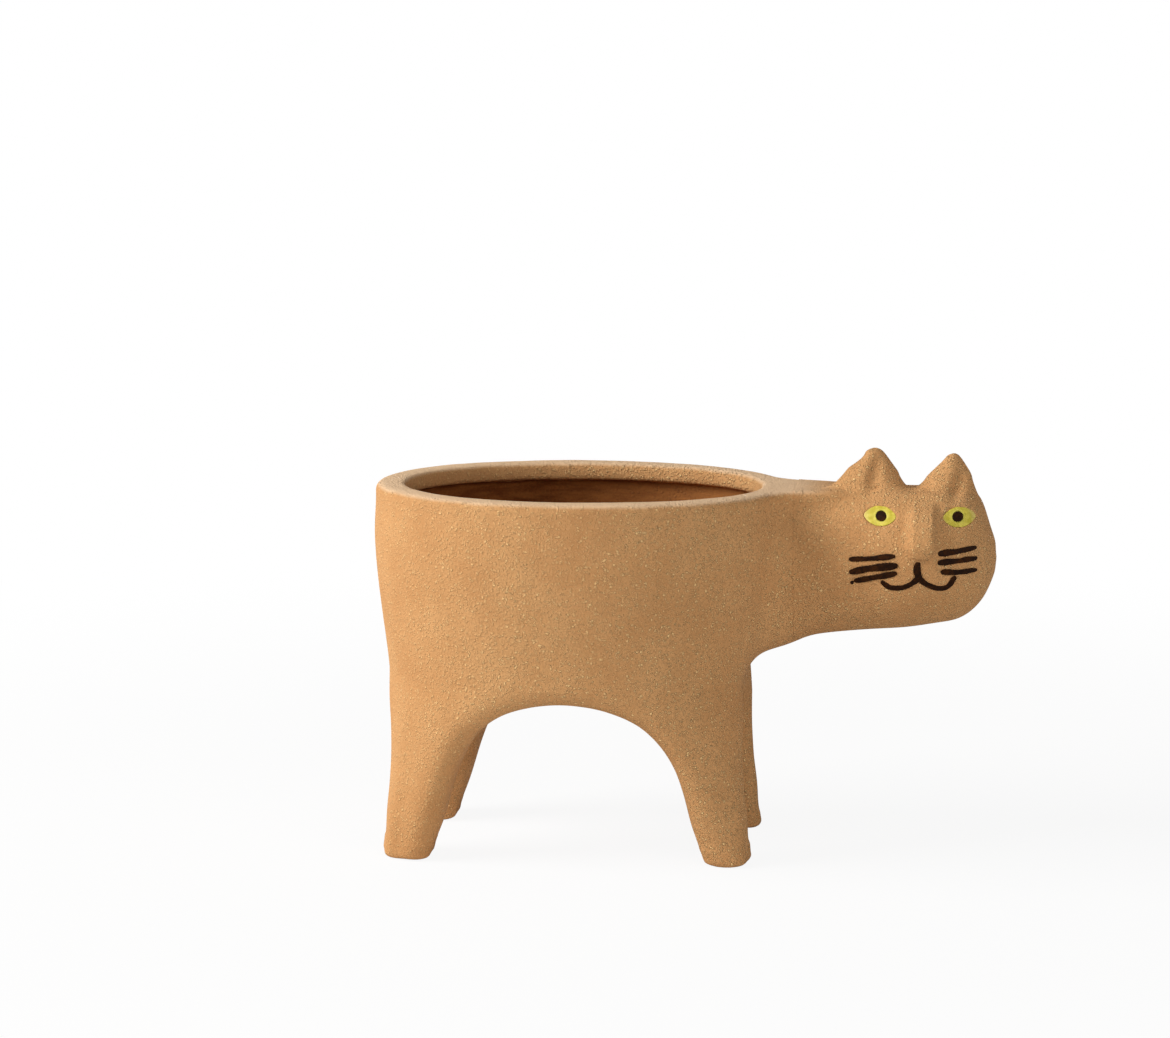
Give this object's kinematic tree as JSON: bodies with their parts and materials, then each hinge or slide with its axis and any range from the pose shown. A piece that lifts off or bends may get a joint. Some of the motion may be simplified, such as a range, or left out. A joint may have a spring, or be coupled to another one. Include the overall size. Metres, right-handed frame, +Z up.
{
  "type": "animal shaped planter",
  "caption": "Small clay planter shaped as a standing cat: the oval body is the open pot, carried on short legs, with a sideways-looking head on a thick neck.",
  "frame": {"origin": "on the ground, at the middle of the whole length and width", "axes": "+X from the pot towards the head, +Z up, and the face looks along -Y"},
  "size_m": [0.1374, 0.0742, 0.09],
  "materials": {
    "sandy_clay": "matt, fine raised sand grains",
    "eye_glaze": "glossy yellow-green glaze",
    "black_glaze": "semi-gloss brown-black glaze"
  },
  "bodies": {
    "root": {"bowl": "sandy_clay", "rim": "sandy_clay", "leg_front_left": "sandy_clay", "leg_front_right": "sandy_clay", "leg_rear_left": "sandy_clay", "leg_rear_right": "sandy_clay", "neck": "sandy_clay", "head": "sandy_clay", "ear_left": "sandy_clay", "ear_right": "sandy_clay", "nose": "sandy_clay", "eye_left": "eye_glaze", "eye_right": "eye_glaze", "pupil_left": "black_glaze", "pupil_right": "black_glaze", "whisker_left_top": "black_glaze", "whisker_left_middle": "black_glaze", "whisker_left_bottom": "black_glaze", "whisker_right_top": "black_glaze", "whisker_right_middle": "black_glaze", "whisker_right_bottom": "black_glaze", "mouth": "black_glaze"}
  },
  "joints": []
}
